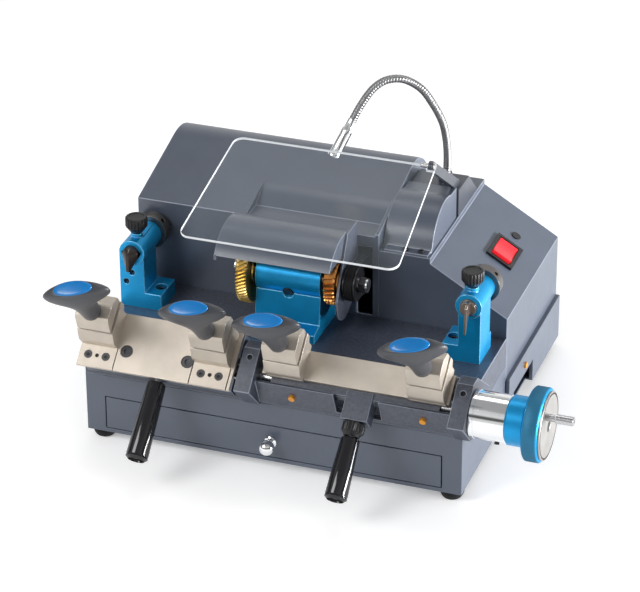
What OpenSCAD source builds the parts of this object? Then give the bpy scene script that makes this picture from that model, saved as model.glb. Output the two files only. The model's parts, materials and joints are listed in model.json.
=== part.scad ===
// Double key duplicating machine: a carriage for mortice keys on the left, one for cylinder keys
// on the right, both rocking on one cross shaft towards a belt-driven cutter spindle.
// Layout frame before centring: X to the right, Y to the rear, Z up; x = 0 is the middle of the
// cabinet, y = 0 its front face and z = 0 the bench. centred() moves it to the middle of the box.

/* [Cabinet] */
// Width of the cabinet
cabinet_w = 380; // [376:1:384]
// Depth of the cabinet
cabinet_d = 324; // [322:1:330]
// Gap between the bench and the cabinet floor
foot_gap = 10; // [8:1:12]
// Height of the joint between the cabinet and the casting
casting_z = 73; // [72:0.5:74]
// Height of the rear ledge that carries the covers
ledge_z = 57.7; // [57:0.1:58]
// Sheet thickness of the cabinet and the covers
sheet = 2.5; // [2:0.5:3]
// Depth of the chip drawer
drawer_d = 120; // [90:1:128]

/* [Bed casting] */
// Height of the machined deck
deck_z = 102.8; // [102:0.1:103.5]
// Front face of the motor cover
wall_y = 143.4; // [143:0.1:144]
// Left bracket of the cross shaft, left face
bracket_left_x = -25; // [-26:0.5:-24]
// Right bracket of the cross shaft, left face
bracket_right_x = 184; // [183.5:0.5:185]
// Width of each bracket
bracket_w = 16; // [15:0.5:16]

/* [Cross shaft and carriages] */
// Distance of the shaft axis behind the cabinet front
pivot_y = 2; // [1.5:0.5:2.5]
// Height of the shaft axis
pivot_z = 101; // [100.5:0.5:101.5]
// Radius of the cross shaft
shaft_r = 8; // [7:0.5:8]
// Forward lean of both carriages at rest
tilt = 42; // [40:1:43]
// Distance between the two vises of the left carriage
left_pitch = 115; // [114:1:116]
// Distance between the two vises of the right carriage
right_pitch = 140; // [139:1:141]
// Position of the first vise of the left carriage
left_vise_x = -169; // [-170:1:-168]
// Position of the first vise of the right carriage
right_vise_x = 18.5; // [18:0.5:19.5]
// Width of a vise
vise_w = 36; // [34:1:36]
// Gap between the jaws
jaw_gap = 3; // [2.5:0.5:3.5]
// Height of a clamp knob
knob_h = 66; // [62:1:68]
// Length of a clamp knob's wing
wing_l = 65; // [60:1:66]

/* [Spindle] */
// Spindle axis, distance behind the cabinet front
spindle_y = 108; // [107.5:0.5:108.5]
// Spindle axis, height
spindle_z = 156; // [155.5:0.5:156.5]
// Radius of the slotting cutter
slotter_r = 35; // [33:0.5:35]
// Radius of the milling cutter
mill_r = 24; // [22:0.5:26]
// Thickness of both cutters
cutter_t = 11; // [9:0.5:12]

/* [Feed handwheel] */
// Radius of the handwheel
wheel_r = 35.4; // [34:0.1:37]
// Radius of the chromed sleeve
sleeve_r = 23; // [22:0.5:23.5]
// Radius of the crank pin
crank_r = 4.5; // [4:0.5:5]

/* [Hidden] */
$fn = 64;

// running clearance of shafts in their bores
fit = 0.05;
half_w = cabinet_w / 2;
ledge_out = 4;
vise_x = [left_vise_x, left_vise_x + left_pitch, right_vise_x, right_vise_x + right_pitch];

// local heights above the shaft axis, square to the carriage surface
plate_bottom = 12;
bar_bottom = 10;
plate_top = 16;
jaw_base_top = 38;
jaw_top = 57;
knob_s = 17;
stud_r = 4;
thread_gap = 0.1;
knob_top = jaw_top + knob_h;

// feed train along X
sleeve_x0 = bracket_right_x + bracket_w;
sleeve_x1 = sleeve_x0 + 35.5;
ring_x1 = sleeve_x1 + 18.3;
wheel_x1 = ring_x1 + 16;
cap_x1 = wheel_x1 + 1.6;
crank_x1 = cap_x1 + 27;
crank_out = 19.7;
crank_angle = 125;

// gauges
gauge_x = [-171.5, 169];
gauge_z = 165.5;
barrel_y = [80, 82];
barrel_r = 13;
gauge_back_y = 126;
cover_screw_x = [85, 101];
plug_x = [26, 155];
plug_r = 3.2;
wing_turn = [16, 10, 9, 14];

// drawer opening in the cabinet front
drawer_half = 170.5;
drawer_z0 = 14.5;
drawer_z1 = 49.3;

// switch panel
panel_top = [112, 170.5];
panel_low_z = 123.5;
panel_slope = atan2(panel_top[1] - panel_low_z, half_w - panel_top[0]);
switch_at = [158, 239, 142.8];

// shield plate, from its hinge forwards
shield_hinge = [163, 264.8];
shield_slope = 14.2;
shield_d = 150;
shield_t = 2.6;
shield_rear_x = [-93, 111];
shield_front_x = [-97, 119];
shield_corner = 10;
arm_x = [103.5, 107.5];

// extents of the whole machine, used to centre it
left_end_x = vise_x[0] - (wing_l / 2 - 4) * cos(wing_turn[0]) - 4;
lever_axis_n = 5;
lever_end_s = 107;
lever_end_y = pivot_y - lever_end_s * cos(tilt) - (lever_axis_n + 8.4) * sin(tilt);
rear_end_y = cabinet_d + 2;
mid_x = (left_end_x + crank_x1) / 2;
mid_y = (lever_end_y + rear_end_y) / 2;

// route of the lamp's gooseneck, base first
hose_r = 4;
hose_route = [
    [94, 252, 212], [94.4, 252, 226], [94.7, 250, 240], [93.7, 248, 255], [91.5, 245, 270],
    [87, 241, 284], [81, 237, 297], [75, 233, 308], [67, 229, 316], [59, 223, 322],
    [51, 218, 324], [42, 213, 322.5], [34, 208, 317], [28.5, 204, 310], [23.8, 200, 302],
    [19.6, 196.5, 293.5], [16, 193, 285]
];
lamp_from = [16, 193, 285];
lamp_to = [3, 175, 253];

module centred() {
    translate([-mid_x, -mid_y, 0]) children();
}

// children are drawn in carriage axes: X, up the slope, square to the surface
module on_carriage() {
    translate([0, pivot_y, pivot_z]) rotate([tilt, 0, 0]) children();
}

module block(p0, p1) {
    translate(p0) cube(p1 - p0);
}

module x_rod(r, x0, x1) {
    translate([x0, 0, 0]) rotate([0, 90, 0]) cylinder(r = r, h = x1 - x0);
}

module y_rod(r, y0, y1) {
    translate([0, y0, 0]) rotate([-90, 0, 0]) cylinder(r = r, h = y1 - y0);
}

// outline in Y and Z, extruded along X
module x_profile(points, x0, x1) {
    translate([x0, 0, 0]) rotate([90, 0, 90]) linear_extrude(x1 - x0) polygon(points);
}

// outline in X and Z, extruded along Y
module y_profile(points, y0, y1) {
    translate([0, y1, 0]) rotate([90, 0, 0]) linear_extrude(y1 - y0) polygon(points);
}

function arc(cx, cy, r, a0, a1, steps) =
    [for (i = [0:steps]) let (a = a0 + (a1 - a0) * i / steps) [cx + r * cos(a), cy + r * sin(a)]];

// socket head cap screw, head up, bottom of the head at z = 0
module cap_screw(head_r, head_h, stem_r, stem_h) {
    difference() {
        union() {
            cylinder(r = head_r, h = head_h);
            translate([0, 0, -stem_h]) cylinder(r = stem_r, h = stem_h + 0.1);
        }
        translate([0, 0, head_h * 0.4]) cylinder(r = head_r * 0.5, h = head_h, $fn = 6);
    }
}

// ---------- cabinet ----------

module cabinet() {
    color("slategray") difference() {
        union() {
            block([-half_w, 0, foot_gap], [half_w, wall_y - 0.3, casting_z]);
            block([-half_w, wall_y - 1, foot_gap], [half_w, wall_y + 1, ledge_z]);
            block([-half_w - ledge_out, wall_y, foot_gap], [half_w + ledge_out, cabinet_d, ledge_z]);
        }
        block([-half_w + 2, 2, foot_gap + 2], [half_w - 2, wall_y - 2, casting_z - 2]);
        block([-half_w, wall_y - 2, foot_gap + 2], [half_w, cabinet_d - 2, ledge_z - 2]);
        block([-drawer_half, -1, drawer_z0 - 0.3], [drawer_half, 3, drawer_z1 + 0.4]);
        for (side = [-1, 1]) grip_notch(side);
        for (side = [-1, 1]) ledge_screw(side, plug_r + fit);
    }
}

// screw in the ledge, or the hole that it stands in
module ledge_screw(side, r) {
    middle = side * (half_w + ledge_out);
    translate([middle, wall_y + 55, 44]) x_rod(r, -2, 2);
}

module grip_notch(side) {
    x0 = side > 0 ? half_w - 3 : -half_w - ledge_out - 1;
    block([x0, wall_y + 16, foot_gap - 1], [x0 + ledge_out + 4, wall_y + 84, foot_gap + 24]);
}

module feet() {
    color("black") for (x = [-177, 177], y = [13, cabinet_d - 16]) translate([x, y, 0]) {
        cylinder(r1 = 10, r2 = 12, h = foot_gap);
    }
}

// ---------- bed casting ----------

bed_points = [[0, casting_z], [wall_y - 0.3, casting_z], [wall_y - 0.3, deck_z], [57, deck_z],
    [43, 94], [43, 83], [0, 83]];
// the shaft brackets point forwards, with a flat top for the set screw
bracket_points = [[-5, 74], [-33, 101.5], [-1, 132], [14, 132], [52, 102.8], [52, 75], [0, 75]];
// thin apron between the brackets, leaning forwards
apron_points = [[-1, 75], [-5, 78], [-17, 106], [-13, 106], [-1.5, 81], [1, 80], [1, 75]];

// plug in the apron, or the hole that it stands in
module apron_plug(x, r, length) {
    translate([x, -11.6, 91.5]) rotate([112, 0, 0]) cylinder(r = r, h = length, center = true);
}

module bed_casting() {
    boss_x = vise_x[3] - 68;
    color("dimgray") difference() {
        union() {
            x_profile(bed_points, -half_w, half_w);
            x_profile(bracket_points, bracket_left_x, bracket_left_x + bracket_w);
            x_profile(bracket_points, bracket_right_x, bracket_right_x + bracket_w);
            difference() {
                x_profile(apron_points, bracket_left_x + 1, bracket_right_x + 1);
                block([boss_x - 22, -30, 81], [boss_x + 22, -1.2, 110]);
            }
            hull() {
                translate([-128, 0, 0]) block([0, pivot_y - 9, 80], [16, pivot_y + 9, 81]);
                translate([0, pivot_y, pivot_z]) x_rod(11, -128, -112);
            }
        }
        translate([0, pivot_y, pivot_z]) x_rod(shaft_r + fit, -150, 260);
        for (x = [bracket_left_x + bracket_w / 2, bracket_right_x + bracket_w / 2])
            translate([x, -8, 126]) rotate([43.6, 0, 0]) cylinder(r = 2.6, h = 20, center = true);
        for (x = plug_x) apron_plug(x, plug_r + fit, 12);
    }
}

// plugs of the apron and one screw on each side of the cabinet
module brass_plugs() {
    color("darkorange") {
        for (x = plug_x) apron_plug(x, plug_r, 4);
        for (side = [-1, 1]) ledge_screw(side, plug_r);
    }
}

// set screws of the brackets, grease plug of the spindle block, screw of the feed sleeve
module black_screws() {
    color("black") {
        for (x = [bracket_left_x + bracket_w / 2, bracket_right_x + bracket_w / 2])
            translate([x, -8, 126]) rotate([43.6, 0, 0]) translate([0, 0, -10]) cylinder(r = 2.5, h = 7);
        translate([-14, spindle_y, spindle_z]) rotate([32, 0, 0]) y_rod(5.5, -21.5, -17);
        translate([sleeve_x0 + 26, pivot_y, pivot_z]) rotate([60, 0, 0]) y_rod(2.4, -25, -20);
    }
}

// ---------- feed ----------

module feed_sleeve() {
    color("silver") translate([0, pivot_y, pivot_z]) difference() {
        x_rod(sleeve_r, sleeve_x0, sleeve_x1);
        x_rod(shaft_r + fit, sleeve_x0 - 1, sleeve_x1 + 1);
        translate([sleeve_x0 + 26, 0, 0]) rotate([60, 0, 0]) y_rod(2.5, -26, -19);
    }
}

module handwheel() {
    color("deepskyblue") translate([0, pivot_y, pivot_z]) difference() {
        union() {
            x_rod(wheel_r, ring_x1, wheel_x1);
            x_rod(16, sleeve_x1 + 0.3, ring_x1 + 1);
        }
        x_rod(shaft_r + fit, sleeve_x1 - 1, wheel_x1 + 1);
    }
}

module dial_ring() {
    color("dodgerblue") translate([0, pivot_y, pivot_z]) difference() {
        x_rod(sleeve_r + 0.8, sleeve_x1 + 0.3, ring_x1);
        x_rod(16, sleeve_x1, ring_x1 + 1);
    }
}

// end disc of the handwheel with its off-centre crank pin
module crank_cap() {
    color("gainsboro") translate([0, pivot_y, pivot_z]) {
        x_rod(wheel_r - 2.6, wheel_x1, cap_x1);
        rotate([crank_angle, 0, 0]) translate([0, crank_out, 0]) {
            x_rod(crank_r - 1, cap_x1 - 0.5, crank_x1 - 17);
            x_rod(crank_r, crank_x1 - 18, crank_x1);
        }
    }
}

collar_x = [[-166.5, -160.4], [-43.6, -37.5]];

module cross_shaft() {
    color("silver") translate([0, pivot_y, pivot_z]) {
        x_rod(shaft_r, -168, wheel_x1 - 8);
        for (c = collar_x) x_rod(10.5, c[0], c[1]);
    }
}

// ---------- spindle and block ----------

spindle_x0 = -47;
spindle_x1 = 18.9;
block_points = concat(
    [[spindle_y - 36.4, deck_z], [spindle_y - 36.4, deck_z + 9], [spindle_y - 22, deck_z + 13],
     [spindle_y - 17, spindle_z - 12]],
    [[spindle_y + 17, spindle_z - 12], [spindle_y + 22, deck_z + 13], [spindle_y + 35, deck_z + 9],
     [spindle_y + 35, deck_z]]);

module spindle_block() {
    color("dodgerblue") difference() {
        union() {
            x_profile(block_points, spindle_x0, spindle_x1);
            translate([0, spindle_y, spindle_z]) x_rod(20.5, spindle_x0, spindle_x1);
        }
        translate([0, spindle_y, spindle_z]) {
            x_rod(10, spindle_x0 - 1, spindle_x1 + 1);
            x_rod(14, spindle_x0 - 1, spindle_x0 + 10);
            x_rod(14, spindle_x1 - 10, spindle_x1 + 1);
            translate([-14, 0, 0]) rotate([32, 0, 0]) y_rod(5.5, -24, -17);
        }
    }
}

module spindle_bearings() {
    color("silver") translate([0, spindle_y, spindle_z])
        for (x = [spindle_x0 + 0.5, spindle_x1 - 9.5]) difference() {
            x_rod(14, x, x + 9);
            x_rod(7 + fit, x - 1, x + 10);
        }
}

slotter_x = vise_x[1] - 3;
mill_x = vise_x[2] + 10;

module spindle_shaft() {
    color("silver") translate([0, spindle_y, spindle_z]) {
        x_rod(7, slotter_x - cutter_t / 2 - 11, mill_x + 33);
        x_rod(9, spindle_x0 - 3.6, spindle_x0 - 0.6);
    }
}

// saw-tooth outline of a cutter: tip, back of the tooth, root
function tooth_points(r, teeth) = [for (i = [0:teeth - 1]) each
    [for (p = [[r, 0], [r * 0.985, 0.35], [r * 0.92, 0.9]]) let (a = (i + p[1]) * 360 / teeth)
        [p[0] * cos(a), p[0] * sin(a)]]];

module toothed_cutter(r, teeth, x) {
    translate([0, spindle_y, spindle_z]) difference() {
        translate([x - cutter_t / 2, 0, 0]) rotate([90, 0, 90])
            linear_extrude(cutter_t) polygon(tooth_points(r, teeth));
        x_rod(7, x - cutter_t, x + cutter_t);
    }
}

module slotting_cutter() {
    color("goldenrod") toothed_cutter(slotter_r, 30, slotter_x);
}

module milling_cutter() {
    color("peru") toothed_cutter(mill_r, 24, mill_x);
}

module cutter_nuts() {
    color("silver") translate([0, spindle_y, spindle_z]) {
        difference() {
            x_rod(8.5, slotter_x - cutter_t / 2 - 9, slotter_x - cutter_t / 2, $fn = 6);
            x_rod(7, slotter_x - cutter_t / 2 - 10, slotter_x - cutter_t / 2 + 1);
        }
        difference() {
            x_rod(8.5, mill_x + 24.5, mill_x + 31, $fn = 6);
            x_rod(7, mill_x + 24, mill_x + 32);
        }
    }
}

pulley_x0 = mill_x + 11.5;
pulley_x1 = pulley_x0 + 12;
motor_y = 236;
motor_z = 138;

module spindle_pulley() {
    color("dimgray") translate([0, spindle_y, spindle_z]) difference() {
        union() {
            x_rod(15, pulley_x0, pulley_x1);
            x_rod(17, pulley_x0, pulley_x0 + 1.5);
            x_rod(17, pulley_x1 - 1.5, pulley_x1);
        }
        x_rod(7, pulley_x0 - 1, pulley_x1 + 1);
    }
}

module motor_body() {
    color("gray") translate([0, motor_y, motor_z]) {
        difference() {
            x_rod(44, -92, 26);
            x_rod(36, -86, 20);
            x_rod(9, 19, 27);
        }
        difference() {
            block([-80, -34, ledge_z - motor_z], [14, 34, -34]);
            x_rod(43.9, -93, 27);
        }
    }
}

module motor_rotor() {
    color("silver") translate([0, motor_y, motor_z]) {
        x_rod(30, -78, 12);
        x_rod(7, 11, pulley_x1 + 2);
        x_rod(24, pulley_x0, pulley_x1);
        x_rod(26, pulley_x0, pulley_x0 + 1.5);
        x_rod(26, pulley_x1 - 1.5, pulley_x1);
    }
}

// flat belt in the two pulley grooves, drawn from its outer and inner outlines
belt_run = norm([motor_y - spindle_y, motor_z - spindle_z]);
belt_dir = atan2(motor_z - spindle_z, motor_y - spindle_y);

function belt_outline(r_small, r_large) =
    let (lean = asin((r_large - r_small) / belt_run))
    concat(arc(0, 0, r_small, 90 + lean, 270 - lean, 24),
           arc(belt_run, 0, r_large, -90 - lean, 90 + lean, 24));

module drive_belt() {
    color("black") translate([pulley_x0 + 2, spindle_y, spindle_z]) rotate([belt_dir, 0, 0])
        rotate([90, 0, 90]) difference() {
            linear_extrude(8) polygon(belt_outline(17.3, 26.3));
            translate([0, 0, -1]) linear_extrude(10) polygon(belt_outline(15.3, 24.3));
        }
}

// ---------- gauges ----------

module gauge_block(side) {
    x = gauge_x[side];
    out = side == 0 ? -1 : 1;
    foot_x0 = side == 0 ? x - 15.5 : x - 27;
    foot_x1 = side == 0 ? x + 27 : x + 11;
    post_x0 = side == 0 ? foot_x0 : x - 11;
    post_x1 = side == 0 ? x + 10 : foot_x1;
    difference() {
        union() {
            block([foot_x0, 86, deck_z], [foot_x1, gauge_back_y - 3, deck_z + 17]);
            block([post_x0, 86, deck_z + 16], [post_x1, gauge_back_y - 8, gauge_z]);
            translate([x, 0, gauge_z]) y_rod(barrel_r, barrel_y[side], gauge_back_y);
            translate([x, 95, gauge_z + 10]) cylinder(r = 6, h = 6);
        }
        translate([x, 0, gauge_z]) y_rod(8 + fit, barrel_y[side] - 1, gauge_back_y + 1);
        translate([x, 95, gauge_z + 5]) cylinder(r = 3.1, h = 14);
        translate([x - out * 20, 104, deck_z + 8]) cylinder(r = 6, h = 12);
        if (side == 0) for (p = [[-3, 140.5], [-9, 130]])
            translate([x + p[0], 0, p[1]]) y_rod(3, 80, 98);
    }
}

module left_gauge_block() {
    color("dodgerblue") gauge_block(0);
}

module right_gauge_block() {
    color("dodgerblue") gauge_block(1);
}

module cap_screws() {
    color("dimgray") {
        for (side = [0, 1]) translate([gauge_x[side] + (side == 0 ? 20 : -20), 104, deck_z + 8])
            cap_screw(5.8, 6, 3, 0);
        for (p = [[-3, 140.5], [-9, 130]]) translate([gauge_x[0] + p[0], 98, p[1]]) rotate([90, 0, 0])
            cap_screw(2.9, 9, 1.5, 0);
        for (x = cover_screw_x) translate([x, wall_y + 5, shelf_z + 2.5]) cap_screw(3, 2.2, 1.4, 0);
    }
}

module left_tracer() {
    color("saddlebrown") translate([gauge_x[0], 0, gauge_z]) {
        y_rod(8, barrel_y[0] - 2.4, gauge_back_y + 2);
        hull() {
            y_rod(7.9, barrel_y[0] - 4.3, barrel_y[0] - 2.3);
            block([-2, barrel_y[0] - 10, -16], [1, barrel_y[0] - 4.2, 2]);
        }
    }
}

module right_tracer() {
    color("tan") translate([gauge_x[1], 0, gauge_z]) {
        y_rod(8, barrel_y[1] - 1, gauge_back_y + 2);
        difference() {
            y_rod(7, barrel_y[1] - 6, barrel_y[1] - 1);
            block([2, barrel_y[1] - 7, -9], [9, barrel_y[1] - 2, 9]);
        }
        x_profile([[barrel_y[1] - 4, 7], [barrel_y[1] - 9, 2], [barrel_y[1] - 12, -24],
            [barrel_y[1] - 6, -12], [barrel_y[1] - 3, -7]], -1.2, 1.2);
    }
}

module gauge_ring(side) {
    color("gray") translate([gauge_x[side], 0, gauge_z]) difference() {
        y_rod(17.5, gauge_back_y + 0.4, gauge_back_y + 12);
        y_rod(8 + fit, gauge_back_y - 1, gauge_back_y + 14);
        for (i = [0:3]) rotate([0, 45 + 90 * i, 0]) translate([0, gauge_back_y + 6, 0])
            cylinder(r = 2.2, h = 20);
    }
}

module left_gauge_ring() {
    gauge_ring(0);
}

module right_gauge_ring() {
    gauge_ring(1);
}

// grip flutes around a knob of 11 mm radius
module flutes(length) {
    for (i = [0:17]) rotate([0, 0, i * 20]) translate([11.4, 0, 0]) cylinder(r = 1.2, h = length, $fn = 16);
}

module gauge_knob(side) {
    color("black") translate([gauge_x[side], 95, gauge_z]) difference() {
        union() {
            translate([0, 0, 11]) cylinder(r = 3, h = 8);
            translate([0, 0, 17]) cylinder(r1 = 6, r2 = 10, h = 5);
            translate([0, 0, 22]) cylinder(r = 11, h = 11);
        }
        translate([0, 0, 21]) flutes(13);
    }
}

module left_gauge_knob() {
    gauge_knob(0);
}

module right_gauge_knob() {
    gauge_knob(1);
}

// ---------- covers ----------

// the rounded motor cover: flat front panel, then a round ridge down to the rear wall
panel_rise = 14.2;
ridge_r = 50;
ridge = [254.4, 169];

function cover_outline(inset) = concat(
    [[wall_y + inset, ledge_z - (inset > 0 ? 1 : 0)], [wall_y + inset, 192.5 - inset * 0.9]],
    arc(ridge[0], ridge[1], ridge_r - inset, 90 + panel_rise, 20, 14),
    [[cabinet_d - inset, 124 - inset * 0.3], [cabinet_d - inset, ledge_z - (inset > 0 ? 1 : 0)]]);

recess_x = [-76, 56];
cover_x1 = 60;

module motor_cover() {
    color("slategray") difference() {
        difference() {
            x_profile(cover_outline(0), -half_w, cover_x1);
            // the front panel is cut back between the left part and the right end
            x_profile([[wall_y - 1, 190], [170, 190], [182, 198], [204, 211], [204, 230],
                [wall_y - 1, 230]], recess_x[0], recess_x[1]);
        }
        difference() {
            x_profile(cover_outline(sheet), -half_w + sheet, cover_x1 - sheet);
            x_profile([[wall_y - 1, 187.5], [171, 187.5], [183, 195.5], [206, 209], [206, 230],
                [wall_y - 1, 230]], recess_x[0] - sheet, recess_x[1] + sheet);
        }
        block([pulley_x0 - 1.6, wall_y - 2, 104], [pulley_x1 + 1.6, wall_y + 4, 178]);
    }
}

housing_x0 = cover_x1 + 0.3;
shelf_z = 176;
function housing_outline(inset) = [
    [housing_x0 + inset, ledge_z - (inset > 0 ? 1 : 0)],
    [half_w - inset, ledge_z - (inset > 0 ? 1 : 0)],
    [half_w - inset, panel_low_z - inset * 0.55],
    [panel_top[0] - inset * 0.4, panel_top[1] - inset * 0.9],
    [panel_top[0] - inset * 0.4, shelf_z - inset],
    [housing_x0 + inset, shelf_z - inset]];

// children are drawn square to the slanted panel, at the middle of the switch
module on_panel() {
    translate(switch_at) rotate([0, panel_slope, 0]) children();
}

module switch_housing() {
    color("slategray") difference() {
        y_profile(housing_outline(0), wall_y, cabinet_d);
        y_profile(housing_outline(sheet), wall_y + sheet, cabinet_d - sheet);
        on_panel() block([-12.5, -18.5, -12], [12.5, 18.5, 12]);
        translate([150, cabinet_d, 92]) block([-13.7, -5, -9.9], [13.7, 1, 9.9]);
    }
}

module switch_bezel() {
    color("black") {
        on_panel() difference() {
            block([-15, -21, 0], [15, 21, 2.6]);
            block([-11, -17, -1], [11, 17, 4]);
        }
        on_panel() difference() {
            block([-12.4, -18.4, -16], [12.4, 18.4, 0.1]);
            block([-11, -17, -13], [11, 17, 4]);
        }
        on_panel() translate([1.5, 38, 0]) cylinder(r = 5, h = 1.2);
    }
}

module rocker() {
    color("red") on_panel() translate([0, 0, -6]) rotate([-6, 0, 0]) difference() {
        block([-10.4, -16, -1], [10.4, 16, 9.5]);
        translate([0, 0, 46]) rotate([0, 90, 0]) cylinder(r = 39, h = 30, center = true);
    }
}

module mains_inlet() {
    color("black") translate([150, cabinet_d, 92]) {
        difference() {
            union() {
                block([-24, 0, -11], [24, 2, 11]);
                block([-13.5, -20, -9.7], [13.5, 0.1, 9.7]);
            }
            block([-11, -16, -7], [11, 3, 7]);
            for (x = [-20, 20]) translate([x, 0, 0]) y_rod(1.7, -1, 3);
        }
        for (x = [-5, 0, 5]) block([x - 1, -17, -2], [x + 1, -3, 2]);
    }
}

// small arched cover over the belt end, standing on the shelf
belt_cover_x = [61, 110];
function belt_cover_outline(inset) = concat(
    [[wall_y + 9 + inset, shelf_z - (inset > 0 ? 1 : 0)]],
    arc(wall_y + 55, shelf_z - 8, 45 - inset, 163, 66, 14),
    [[234 - inset, 208.5 - inset], [234 - inset, shelf_z - (inset > 0 ? 1 : 0)]]);

module belt_cover() {
    color("lightslategray") difference() {
        union() {
            x_profile(belt_cover_outline(0), belt_cover_x[0], belt_cover_x[1]);
            block([belt_cover_x[0] + 4, wall_y + 0.5, shelf_z],
                [belt_cover_x[1] - 1, wall_y + 14, shelf_z + 2.5]);
        }
        x_profile(belt_cover_outline(sheet), belt_cover_x[0] + sheet, belt_cover_x[1] - sheet);
        for (x = cover_screw_x) translate([x, wall_y + 5, shelf_z - 1]) cylinder(r = 1.5, h = 5);
    }
}

module cutter_guard() {
    guard_r = 50;
    x0 = slotter_x - 24;
    x1 = mill_x + 7.5;
    color("slategray") {
        difference() {
            translate([0, spindle_y, spindle_z]) difference() {
                x_rod(guard_r, x0, x1);
                x_rod(guard_r - 2, x0 - 1, x1 - 2);
                block([x0 - 1, -60, -60], [x1 + 1, 60, 28.7]);
            }
            block([x0 - 2, wall_y - 0.3, 150], [x1 + 2, 200, 230]);
        }
        block([x0, spindle_y - 41, spindle_z + 24], [x0 + 2, spindle_y - 35, spindle_z + 30]);
    }
}

module belt_guard() {
    x0 = mill_x + 8;
    color("dimgray") difference() {
        x_profile(concat([[wall_y - 0.3, deck_z + 30], [wall_y - 0.3, 205], [spindle_y + 6, 205]],
            arc(spindle_y - 2, spindle_z - 14, 24, 170, 300, 12)), x0, x0 + 2);
        translate([0, spindle_y, spindle_z]) x_rod(10, x0 - 1, x0 + 3);
    }
}

// block behind the belt cover: carries the lamp and the arm of the shield
module rear_bracket() {
    color("slategray") {
        x_profile([[236, shelf_z], [236, 205], [270, 205], [300, shelf_z]], 62, 111.5);
        difference() {
            union() {
                x_profile([[240, 204], [255, 204], [255, 206], shield_hinge + [3, 4],
                    shield_hinge + [-3, -4]], arm_x[0], arm_x[1]);
                translate([0, shield_hinge[0], shield_hinge[1]]) x_rod(5, arm_x[0], arm_x[1]);
            }
            translate([0, shield_hinge[0], shield_hinge[1]])
                x_rod(2.5 + fit, arm_x[0] - 1, arm_x[1] + 1);
        }
        translate([94, 252, 0]) difference() {
            union() {
                translate([0, 0, 204]) cylinder(r = 8, h = 7);
                translate([0, 0, 210]) cylinder(r = 5.5, h = 5);
            }
            translate([0, 0, 211.7]) cylinder(r = hose_r + 0.25, h = 4);
        }
    }
}

// swept tube: rings of points square to the route
function unit(v) = v / norm(v);
function along(p, i) = unit(p[min(i + 1, len(p) - 1)] - p[max(i - 1, 0)]);
function ring_at(p, i, r, sides) =
    let (t = along(p, i), u = unit(cross(t, [0.3, 1, 0.1])), w = cross(t, u))
    [for (k = [0:sides - 1]) p[i] + r * (cos(360 * k / sides) * u + sin(360 * k / sides) * w)];

module swept_tube(p, r, sides) {
    n = len(p);
    rings = [for (i = [0:n - 1]) each ring_at(p, i, r, sides)];
    walls = [for (i = [0:n - 2], k = [0:sides - 1]) let (m = (k + 1) % sides)
        [i * sides + k, i * sides + m, (i + 1) * sides + m, (i + 1) * sides + k]];
    first = [for (k = [sides - 1:-1:0]) k];
    last = [for (k = [0:sides - 1]) (n - 1) * sides + k];
    polyhedron(points = rings, faces = concat([first], walls, [last]), convexity = 10);
}

module gooseneck() {
    color("silver") swept_tube(hose_route, hose_r, 12);
}

module lamp_head() {
    d = lamp_to - lamp_from;
    lean = acos(d[2] / norm(d));
    turn = atan2(d[1], d[0]);
    color("gainsboro") translate(lamp_from) rotate([0, 0, turn]) rotate([0, lean, 0]) difference() {
        union() {
            translate([0, 0, 0.5]) cylinder(r = 4.6, h = 9);
            translate([0, 0, 9]) cylinder(r = 5.6, h = norm(d) - 12);
            translate([0, 0, norm(d) - 3.5]) cylinder(r1 = 5.6, r2 = 6.6, h = 3.5);
        }
        translate([0, 0, norm(d) - 1.5]) cylinder(r = 4.6, h = 3);
    }
}

module shield() {
    c = shield_corner;
    outline = concat(
        arc(shield_rear_x[0] + c, -c, c, 180, 90, 8),
        arc(shield_rear_x[1] - c, -c, c, 90, 0, 8),
        arc(shield_front_x[1] - c, -shield_d + c, c, 0, -90, 8),
        arc(shield_front_x[0] + c, -shield_d + c, c, -90, -180, 8));
    color("lightcyan", 0.4) translate([0, shield_hinge[0], shield_hinge[1]]) {
        x_rod(2.5, arm_x[0] - 8, arm_x[1] + 0.6);
        x_rod(4, arm_x[1] + 0.5, arm_x[1] + 2.5);
        rotate([shield_slope, 0, 0]) difference() {
            translate([0, 0, -shield_t / 2]) linear_extrude(shield_t) polygon(outline);
            block([arm_x[0] - 0.6, -7, -4], [shield_rear_x[1] + 2, 5, 4]);
        }
    }
}

// ---------- drawer ----------

module drawer_box() {
    y1 = drawer_d;
    color("slategray") {
        block([-drawer_half + 1, 0, drawer_z0 + 0.5], [drawer_half - 1, 2, drawer_z1 - 0.5]);
        difference() {
            block([-drawer_half + 3, 1.9, drawer_z0 + 1], [drawer_half - 3, y1, drawer_z1 - 4]);
            block([-drawer_half + 4.5, 4, drawer_z0 + 2.5], [drawer_half - 4.5, y1 - 1.5, drawer_z1]);
        }
    }
}

module drawer_knob() {
    color("silver") translate([0, 0, 32]) rotate([90, 0, 0]) {
        cylinder(r = 6, h = 2.5);
        cylinder(r = 3.2, h = 8);
        translate([0, 0, 12]) sphere(r = 7.6);
    }
}

// ---------- carriages ----------

// lugs of the left carriage, between the collars of the shaft
left_lugs = [[-160, -144], [-60, -44]];

module left_carriage() {
    color("dimgray") on_carriage() difference() {
        union() {
            block([-178, -24, 3], [-29.5, -14, plate_bottom]);
            block([-178, 14, 3], [-29.5, 34, plate_bottom]);
            for (l = left_lugs) {
                block([l[0], -16, 0], [l[1], 16, plate_bottom]);
                x_rod(plate_bottom, l[0], l[1]);
            }
            block([-31.5, -24, 0], [-29.5, -10, plate_top - 0.5]);
            block([-31.5, 10, 0], [-29.5, 34, plate_top - 0.5]);
        }
        x_rod(shaft_r + fit, -180, -20);
    }
}

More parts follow.
